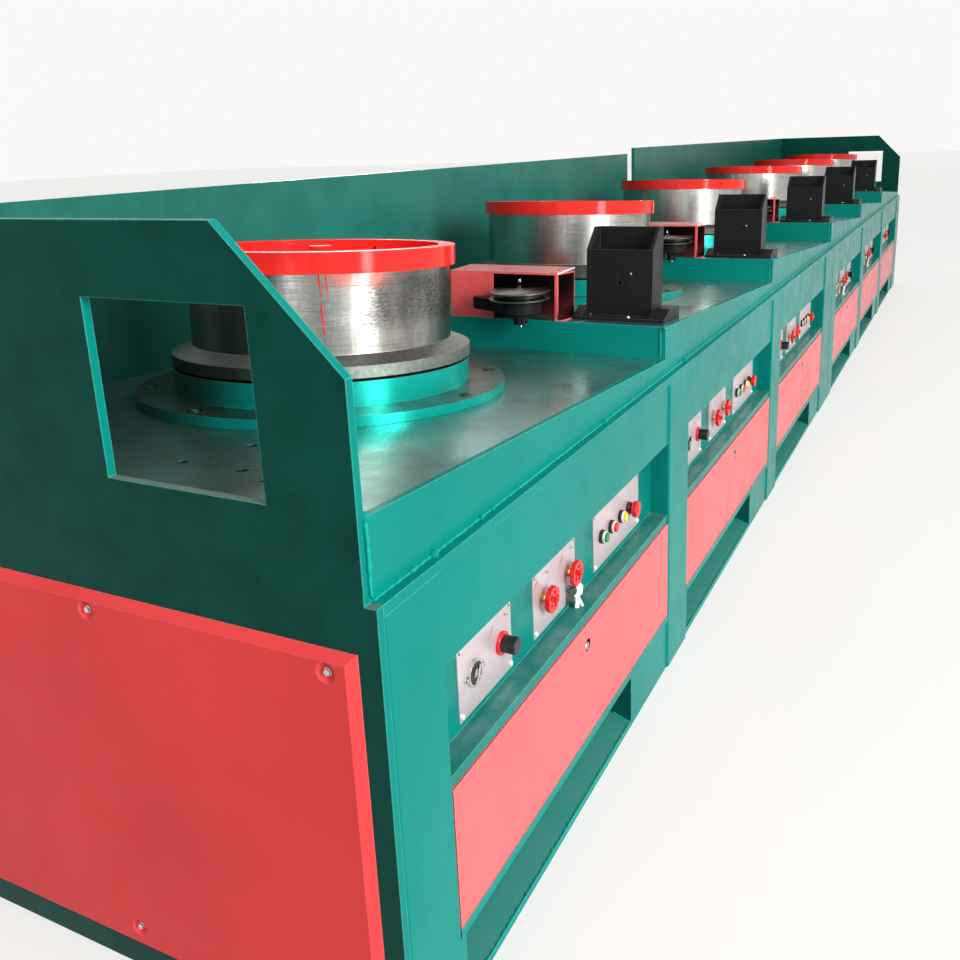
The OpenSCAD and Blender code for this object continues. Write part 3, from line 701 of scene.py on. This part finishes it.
def bead(shape, start, end, radius, rng, pitch=7.0):
    """A welded seam between two machine places: an uneven run of small overlapping lumps."""
    a, b = at(*start), at(*end)
    steps = max(4, int((b - a).length * 1000 / pitch))
    path, radii = [], []
    for k in range(steps + 1):
        lump = 1.0 + 0.35 * math.sin(k * 2.1 + rng.random()) + rng.uniform(-0.2, 0.3)
        path.append(a.lerp(b, k / steps) + Vector([rng.uniform(-0.4, 0.4) / 1000 for _ in range(3)]))
        radii.append(radius * lump / 1000)
    radii[0] = radii[-1] = radius * 0.3 / 1000
    shape.tube(path, radii, 7)


rng = random.Random(27)

# Screws in the dimples of the end covers
COVER_X = ((-7, -90), (LENGTH + 7, 90))
screws = Shape()
for x, turn in COVER_X:
    for y in (86, DEPTH / 2, 1044):
        for z in (108, 737):
            hex_bolt(screws, here(x, y, z, turn, "Y"), 10, 6.5, 7)
screws.piece("cover_screws", "machine", screw_steel)

# Weld beads along the ledges, down the corners, over the openings and at the toe recesses, lighter than the
# bed's green as a painted highlight
LUMPS = ((118, 18, 847, 5), (175, 17, 847, 6.5), (330, 17, 846, 5), (372, 18, 847, 4.5), (16, 22, 970, 6),
         (1360, 22, 968, 6), (2760, 22, 968, 6), (905, 17, 847, 5), (1530, 17, 847, 5))
TOE_START, TOE_END = 24, 870
seams = Shape()
lumps = Shape()
for y, side in ((BAND_Y, -1), (DEPTH - BAND_Y, 1)):
    for start, end in SECTIONS:
        bead(seams, (start + 4, y + side, LEDGE_Z + 1), (end - 4, y + side, LEDGE_Z + 1), 2.4, rng)
    for x, top in ((SECTIONS[0][0], 965), (SECTIONS[1][1], 860)):
        bead(seams, (x, y + side * 2, LEDGE_Z + 6), (x, y + side * 2, top), 3.0, rng)
for i in STEPS:
    x, y = BAY_X[i] - 1, BAND_Y + 14
    bead(seams, (x, y, DECK_Z - 80), (x, y, DECK_Z - 4), 1.4, rng)
for x, y, z, r in LUMPS:
    bead(lumps, (x - r, y, z), (x + r, y, z), r, rng, 2.5)
for i in BAYS:
    start, end = OPENING_X[i], OPENING_X[i] + OPENING_W
    for y in (3.5, DEPTH - 3.5):
        bead(seams, (start + 3, y, OPENING_TOP), (end - 3, y, OPENING_TOP), 1.8, rng)
    bead(seams, (start + TOE_END + 5, 8, 12), (start + TOE_END + 5, 58, 29), 2.2, rng)
    bead(seams, (start + TOE_START, 7, 12), (start + TOE_END, 7, 12), 2.6, rng)
seams.piece("weld_beads", "machine", weld, 80)
lumps.piece("weld_lumps", "machine", weld, 80)

# Lock barrels in the doors, high in the rear ones
LOCKS = ((2, 387, 90), (DEPTH - 2, 610, -90))
barrels = Shape()
rims = Shape()
for i in BAYS:
    x = OPENING_X[i] + OPENING_W / 2
    for y, z, turn in LOCKS:
        spot = here(x, y, z, turn, "X")
        rims.lathe([(14.9, -9), (14.9, -1), (13.4, -1), (13.4, -9)], spot, 28)
        barrels.lathe([(13.0, -11), (13.0, -7), (12, -6.2), (0, -6.2)], spot, 24)
        plug = spot @ moved(0, -3 if turn > 0 else 3, 0)
        barrels.lathe([(9.2, -7), (9.2, -2), (8.4, -1.2), (0, -1.2)], plug, 24)
        barrels.prism([(-1.4, -6), (1.4, -6), (1.4, 6), (-1.4, 6)], -2, -0.8, plug)
barrels.piece("lock_barrels", "machine", screw_steel)
rims.piece("lock_rims", "machine", black_plastic)

# Control plates: near-white screws at the foot, bare metal with a painted highlight, small dark ones at the
# top in painted shade, and plain dial marks
DIAL_ARCS = ((146, 120, 56, 2.2), (90, 52, 52, 0.5))  # from and to degrees, radius, widening by
screws = Shape()
marks = Shape()
for i in BAYS:
    for start, end in PLATES:
        for along in (start + 8, end - 8):
            pan_head(screws, on_plate(i, along, PLATE_Z[0] + 10), 11, 4)
            # The top screws are small dark domes: painted shade.
            marks.lathe([(2.4, 0), (2.4, 0.5), (1.6, 1.1), (0, 1.2)], on_plate(i, along, PLATE_Z[1] - 6), 12)
    for along in (KNOB, *VALVES):
        dial = on_plate(i, along)
        for first, last, radius, wide in DIAL_ARCS:
            inner, outer = [], []
            for k in range(11):
                a = math.radians(first + (last - first) * k / 10)
                reach = radius + wide * k / 10 + 0.3
                inner.append((radius * math.cos(a), radius * math.sin(a)))
                outer.append((reach * math.cos(a), reach * math.sin(a)))
            for k in range(10):
                marks.prism([inner[k + 1], inner[k], outer[k], outer[k + 1]], 0.0, 0.2, dial)
        marks.prism([(49, 0), (53.5, -4), (54.5, 3)], 0.0, 0.25, dial @ turned(70, "Z"))
screws.piece("plate_screws", "machine", bare_metal_highlight)
marks.piece("dial_marks", "machine", ink)

# Range selector: dark dish floor and the bright screws of its ears
dishes = Shape()
screws = Shape()
for i in BAYS:
    spot = on_plate(i, SELECTOR)
    dishes.lathe([(20.9, 2), (20.9, 2.4), (10.1, 2.4)], spot, 32)
    for x in (-28, 28):
        pan_head(screws, spot @ moved(x, 0, 3), 10, 3.6)
dishes.piece("selector_dishes", "machine", dark_metal)
screws.piece("selector_screws", "machine", chrome)

# Speed knob: red ring behind it and flutes round it
rings = Shape()
flutes = Shape()
for i in BAYS:
    spot = on_plate(i, KNOB)
    rings.lathe([(22.6, 0), (22.6, 5.2), (21.6, 6.4), (16.4, 6.4)], spot, 36)
    for x, y in ring_of(24, 15.7):
        flutes.lathe([(0.9, 7), (0.9, 31), (0.5, 33), (0, 33)], spot @ moved(x, y, 0), 6)
    flutes.lathe([(15.8, 33.6), (15.0, 34.6), (9, 34.9), (0, 35)], spot, 32)
rings.piece("knob_rings", "machine", red_plastic)
flutes.piece("knob_flutes", "machine", black_plastic)

# Valve stems and nuts
stems = Shape()
nuts = Shape()
for i in BAYS:
    for along in VALVES:
        spot = on_plate(i, along)
        stems.prism(ring_of(6, 11), 0, 6, spot, chamfer=1.0)
        stems.lathe([(7.7, 6), (7.7, 9), (8.6, 9.5), (8.6, 12), (7.5, 13), (7.3, 14)], spot, 20)
        nuts.prism(ring_of(6, 6.4), 24, 29.6, spot, chamfer=0.9)
        nuts.lathe([(3.0, 29.6), (3.0, 32), (2.2, 32.8), (0, 32.8)], spot, 12)
stems.piece("valve_stems", "machine", brass)
nuts.piece("valve_nuts", "machine", worn_nut)

# Push buttons: white rings and coloured caps, and the stop's collar and dome
BUTTONS = ((796, green_plastic, "green"), (859, red_plastic, "red"), (926, yellow_plastic, "yellow"))
rings = Shape()
bezels = Shape()
for along, finish, colour in BUTTONS:
    caps = Shape()
    for i in BAYS:
        spot = on_plate(i, along)
        bezels.lathe([(16.3, 0), (16.3, 7), (15.2, 8.4), (12, 8.4)], spot, 32)
        rings.lathe([(14.3, 8), (14.3, 12.2), (13.6, 13), (11.4, 13)], spot, 32)
        caps.lathe([(11.8, 12), (11.8, 17), (11.2, 18), (8, 18.8), (0, 19.2)], spot, 28)
    caps.piece(f"button_caps_{colour}", "machine", finish)
DOME = [(16, 15.6), (20.3, 16.2), (20.6, 18), (20.6, 23), (19.6, 26), (16, 28.6), (9, 30), (0, 30.4)]
domes = Shape()
for i in BAYS:
    spot = on_plate(i, STOP)
    bezels.lathe([(16.3, 0), (16.3, 7), (15.2, 8.4), (11, 8.4)], spot, 32)
    bezels.lathe([(11.8, 8), (11.8, 16)], spot, 28)
    domes.lathe(DOME, spot, 36)
rings.piece("button_rings", "machine", white_plastic)
bezels.piece("button_bezels", "machine", black_plastic)
domes.piece("stop_domes", "machine", red_plastic)

# Bunches of keys, left hanging from valves, their faces turned toward the near end
keys = Shape()
tags = Shape()
BLADE = [(-2.2, -9), (-3.4, -15), (-2.0, -20), (-3.4, -25), (0, -29), (3.4, -25), (3.4, 0), (-3.4, 0)]
BOW = [(-11, -20), (-4, -26), (4, -26), (11, -20), (12, -4), (6, 3), (-6, 3), (-12, -4)]
HANGING = ((-9, -28, 9, -14, -34), (-4, -30, 12, -6, -44), (-8, -34, 15, -10, -54))
BAYS_WITH_KEYS = (0, 3, 4)
for i in BAYS_WITH_KEYS:
    spot = on_plate(i, VALVES[1])
    loop = [spot @ Vector((7 + 9 * x, -20 + 15 * y, 14)) for x, y in ring_of(20, 1)]
    loop.append(loop[0])
    keys.tube(loop, [0.0009] * 21, 6)
    for x, y, z, lean, face in HANGING:
        hang = spot @ moved(x, y, z) @ turned(face, "Y") @ turned(lean, "Z")
        keys.prism([(x * 0.7, y * 0.6) for x, y in BOW], 0, 2.2, hang, chamfer=0.4)
        keys.prism(BLADE, 0.2, 2, hang @ moved(0, -15, 0))
    card = spot @ moved(8, -30, 16) @ turned(-48, "Y")
    tags.prism(BOW, 0, 3, card @ Matrix.Scale(1.15, 4), chamfer=0.6)
    for lean, long in ((-3, 1.6), (24, 1.1)):
        blade = card @ moved(0, -27, 0) @ turned(lean, "Z")
        tags.prism(BLADE, 0.3, 2.6, blade @ Matrix.Scale(long, 4))
keys.piece("key_rings", "machine", dark_metal)
tags.piece("key_tags", "machine", white_plastic)

# Bolts in the base rings, with a jacking hole beside each; flat dark discs stand for the counterbores and
# holes: painted shade
bolts = Shape()
recesses = Shape()
for i in BAYS:
    ring = on_deck(i, DRUM_X[i], DRUM_Y) @ moved(0, 0, BASE_RING_TOP)
    for bolt, jack in zip(ring_of(8, BASE_BOLT_R, 40.5), ring_of(8, JACKING_HOLE_R, 43.1)):
        spot = ring @ moved(*bolt, 0)
        recesses.lathe([(15, 0), (15, 0.4), (9.6, 0.5), (0, 0.5)], spot, 20)
        cap_screw(bolts, spot, 17, 2.6)
        recesses.lathe([(5, 0), (5, 0.5), (0, 0.5)], ring @ moved(*jack, 0), 14)
bolts.piece("base_bolts", "machine", bolt_paint)
recesses.piece("base_bolt_hole_shade", "machine", dark_metal)

# Paint that ran from the crown down the first drum
DRIPS = ((-143.5, 273, 231, 1.9), (-140.8, 273, 220, 1.5), (-142.9, 216, 158, 2.1),
         (-108.0, 274, 262, 1.4), (-64.0, 274, 240, 1.5))
drips = Shape()
drum = on_deck(0, DRUM_X[0], DRUM_Y)
for angle, top, foot, wide in DRIPS:
    path, radii = [], []
    for k in range(13):
        a = math.radians(angle) + 0.001 * k
        t = k / 12
        z = top + (foot - top) * t
        path.append(drum @ Vector((DRUM_WALL_R * math.cos(a), DRUM_WALL_R * math.sin(a), z)))
        radii.append(wide / 1000 * (0.75 + 0.25 * math.sin(5 * t) + (0.5 if k == 11 else 0.0)))
    radii[-1] = wide / 3000
    drips.tube(path, radii, 8)
drips.piece("paint_drips", "drum_1", red_crown, 80)

# Bolts, screws and small holes of the die boxes; the holes are flat black discs: painted shade
bolts = Shape()
dark_bolts = Shape()
holes = Shape()
for i in STEPS:
    foot = on_deck(i, BAY_X[i], 0)
    for x, y in ((84, 62), (84, 262), (186, 62), (186, 290), (84, 292)):
        hex_bolt(dark_bolts, foot @ moved(x, y, DIE_FOOT_TOP), 12, 7, 8)
    pan_head(bolts, foot @ moved(80, 150, DIE_FOOT_TOP), 12, 4)
    face = foot @ moved(DIE_BOX_X, 0, 0) @ turned(-90, "Y")
    pan_head(bolts, face @ moved(125, 153.5, 0), 7, 2)
    for z, y in ((87, 152.8), (179, 129), (116, 193.6)):
        holes.lathe([(3.2, 0), (3.2, 0.4), (0, 0.4)], face @ moved(z, y, 0), 12)
bolts.piece("guide_bolts", "machine", chrome)
dark_bolts.piece("guide_bolts_painted", "machine", black)
holes.piece("guide_hole_shade", "machine", black_plastic)

# Lids of the guard boxes: loose sheets that stand up toward the die box, with a near-white front edge, bare
# metal and a painted highlight
lids = Shape()
edges = Shape()
for i in STEPS:
    side = on_deck(i, BAY_X[i], GUARD_FRONT) @ moved(0, 0, GUARD_HIGH) @ turned(90, "X")
    lids.prism([(0, 0.2), (GUARD_DEEP, 9), (GUARD_DEEP, 11), (0, 2)], -GUARD_WIDE, 0, side)
    lids.prism([(1, -0.5), (GUARD_DEEP - 1, -0.5), (GUARD_DEEP - 1, 9.5), (1, 1)], 1 - GUARD_WIDE, -16, side)
    edges.prism([(0, -2.5), (GUARD_DEEP, 6.5), (GUARD_DEEP, 11.4), (0, 2.4)], 0, 0.8, side)
lids.piece("guard_lids", "machine", red_guard)
edges.piece("guard_lid_edges", "machine", bare_metal_highlight)


def pierced(obj, spots, hole, low, high):
    """The mesh of obj, which this uses up, made one closed skin with upright round holes through it."""
    form = bmesh.new()
    form.from_mesh(obj.data)
    bmesh.ops.remove_doubles(form, verts=form.verts, dist=0.001)
    form.to_mesh(obj.data)
    form.free()
    cutters = Shape()
    for x, y in spots:
        cutters.lathe([(0, low), (hole, low), (hole, high), (0, high)], moved(x, y, 0), 24)
    tool = placed("cutters", cutters.mesh("cutters"))
    cut = obj.modifiers.new("holes", "BOOLEAN")
    cut.object, cut.operation, cut.solver = tool, "DIFFERENCE", "EXACT"
    result = bpy.data.meshes.new_from_object(obj.evaluated_get(bpy.context.evaluated_depsgraph_get()))
    for unused in (tool, obj):
        bpy.data.objects.remove(unused)
    return result


# Sheaves: thin flanges on a core, and a nearly flat face with two spanner holes round the axle's end
SHEAVE = [(10.2, 0), (24, 0), (26, 3), (70, 3), (74, 0), (83, 0), (84, 1.2), (84, 3.8), (82.5, 5),
          (69, 10.8), (68, 12), (69, 13.2), (82.5, 19), (84, 20.2), (84, 22.6), (83, 23.8), (80, 24),
          (36, 25.4), (34, 26.2), (16, 26.4), (14.6, 25.4), (10.2, 25.4), (10.2, 0)]
blank = placed("sheave_blank", Shape().lathe(SHEAVE, Matrix.Identity(4), 96).mesh("sheave_blank"))
sheave_mesh = pierced(blank, ring_of(2, 25, 124), 7, -2, 40)
for i in STEPS:
    n = i + 1
    arm = f"tension_arm_{n}"
    x, y = BAY_X[i] + SHEAVE_AT[0], SHEAVE_AT[1]
    axle = here(x, y, 0)
    mesh = sheave_mesh.copy()
    mesh.transform(here(x, y, SHEAVE_Z))
    stand_for(mesh, f"sheave_wheel_{n}", f"sheave_{n}", f"sheave_{n}", wheel_steel)
    # The arm, its axle cut off level with the sheave's face
    form = bmesh.new()
    form.from_mesh(nodes[arm].data)
    cut = bmesh.ops.bisect_plane(form, geom=form.verts[:] + form.edges[:] + form.faces[:], clear_outer=True,
                                 plane_co=at(0, 0, SHEAVE_FACE_Z), plane_no=(0, 0, 1))
    bmesh.ops.contextual_create(form, geom=[e for e in cut["geom_cut"] if isinstance(e, bmesh.types.BMEdge)])
    mesh = bpy.data.meshes.new(arm)
    form.to_mesh(mesh)
    form.free()
    stand_for(mesh, f"arm_lever_{n}", arm, arm, black)
    tip = Shape()
    tip.lathe([(9.9, 0), (9.4, 0.6), (4, 0.8), (0, 0.4)], axle @ moved(0, 0, SHEAVE_FACE_Z), 20)
    tip.lathe([(0, -45), (3.6, -44.4), (5.2, -43), (5.2, -36)], axle @ moved(0, 0, ARM_Z), 16)
    tip.piece(f"sheave_bolt_{n}", arm, chrome)
    # A coned cap over the pivot, on the arm, with the pin's bolt in it
    spot = here(BAY_X[i] + PIVOT_AT[0], PIVOT_AT[1], ARM_TOP)
    cap = Shape()
    cap.lathe([(37, 0), (37.5, 14), (36, 16), (12, 27), (8.6, 27.6)], spot, 40)
    cap.piece(f"pivot_cap_{n}", arm, cap_metal)
    pin = Shape()
    pin.lathe([(7.8, 12), (7.8, 32), (6.6, 33)], spot, 20)
    pin.lathe([(6.6, 32.6), (6.6, 37), (5.8, 38), (0, 38)], spot, 20)
    pin.piece(f"pivot_bolt_{n}", "machine", chrome)

# Floor: pale in the picture, grey for the light that falls on it
mesh = bpy.data.meshes.new("floor")
mesh.from_pydata([(-60, -60, 0), (60, -60, 0), (60, 60, 0), (-60, 60, 0)], [], [(0, 1, 2, 3)])
floor = placed("floor", mesh)
f = Finish("pale_floor")
tint = f.mix(f.noise(0.7, 4), rgb(251, 250, 248), rgb(247, 246, 244))
mesh.materials.append(f.done(Base_Color=rgb(150, 152, 150), Roughness=0.8, Emission_Color=tint,
                             Emission_Strength=f.calc("MULTIPLY", f.seen(), 0.66)))


def lamp(name, place, aim, strength, wide, high):
    """A flat lamp that the camera itself doesn't see."""
    data = bpy.data.lights.new(name, "AREA")
    data.shape = "RECTANGLE"
    data.energy, data.size, data.size_y = strength, wide, high
    obj = placed(name, data)
    obj.location = place
    obj.rotation_euler = (Vector(aim) - Vector(place)).to_track_quat("-Z", "Y").to_euler()
    obj.visible_camera = False


lamp("key", (-6.2, -8.8, 4.8), (-2.4, 0, 0.7), 700, 3.4, 3.4)
lamp("front_window", (-6.1, -8.6, 1.7), (-3.6, 0, 1.2), 260, 0.75, 4.0)
lamp("near_fill", (-9.4, 1.0, 4.6), (-2.4, 0, 1.0), 110, 2.6, 2.6)
lamp("slit", (-10.4, -1.6, 1.2), (-3.6, 0, 1.1), 14, 0.25, 3.0)
lamp("rear_window", (2.6, 4.6, 2.4), (-3.0, 0, 1.0), 200, 1.6, 1.0)

# Surroundings: they light the machine from the operator's side, and are evenly pale in the picture
world = bpy.data.worlds.new("hall")
bpy.context.scene.world = world
world.use_nodes = True
world.node_tree.nodes.clear()
hall = Nodes(world.node_tree)
bright = Vector((0.6, -0.8, 0.25)).normalized()
facing = hall.dot(hall.add("ShaderNodeTexCoord").outputs["Generated"], bright)
light = hall.add("ShaderNodeBackground", {0: rgb(250, 250, 250), 1: hall.span(facing, -0.5, 0.9, 0.1, 0.95)})
pale = hall.add("ShaderNodeBackground", {0: rgb(250, 249, 247)})
mix = hall.add("ShaderNodeMixShader", {0: hall.seen(), 1: light.outputs[0], 2: pale.outputs[0]})
hall.add("ShaderNodeOutputWorld", {0: mix.outputs[0]})

# Camera, where the photograph was taken from
camera = placed("camera", bpy.data.cameras.new("camera"))
right = Vector((0.43351588, -0.90052935, -0.03332978))
down = Vector((-0.24981843, -0.08456202, -0.96459319))
ahead = Vector((0.86582604, 0.42649286, -0.2616278))
turn = Matrix((right, -down, -ahead)).transposed().to_4x4()
camera.matrix_world = Matrix.Translation((-5.26866, -1.24697, 1.44514)) @ turn
camera.data.sensor_width = 36
camera.data.lens = 34.944
camera.data.shift_x = -0.04195
camera.data.shift_y = -0.0890
camera.data.clip_start = 0.05
camera.data.clip_end = 200
bpy.context.scene.camera = camera
bpy.context.scene.view_settings.view_transform = "Standard"
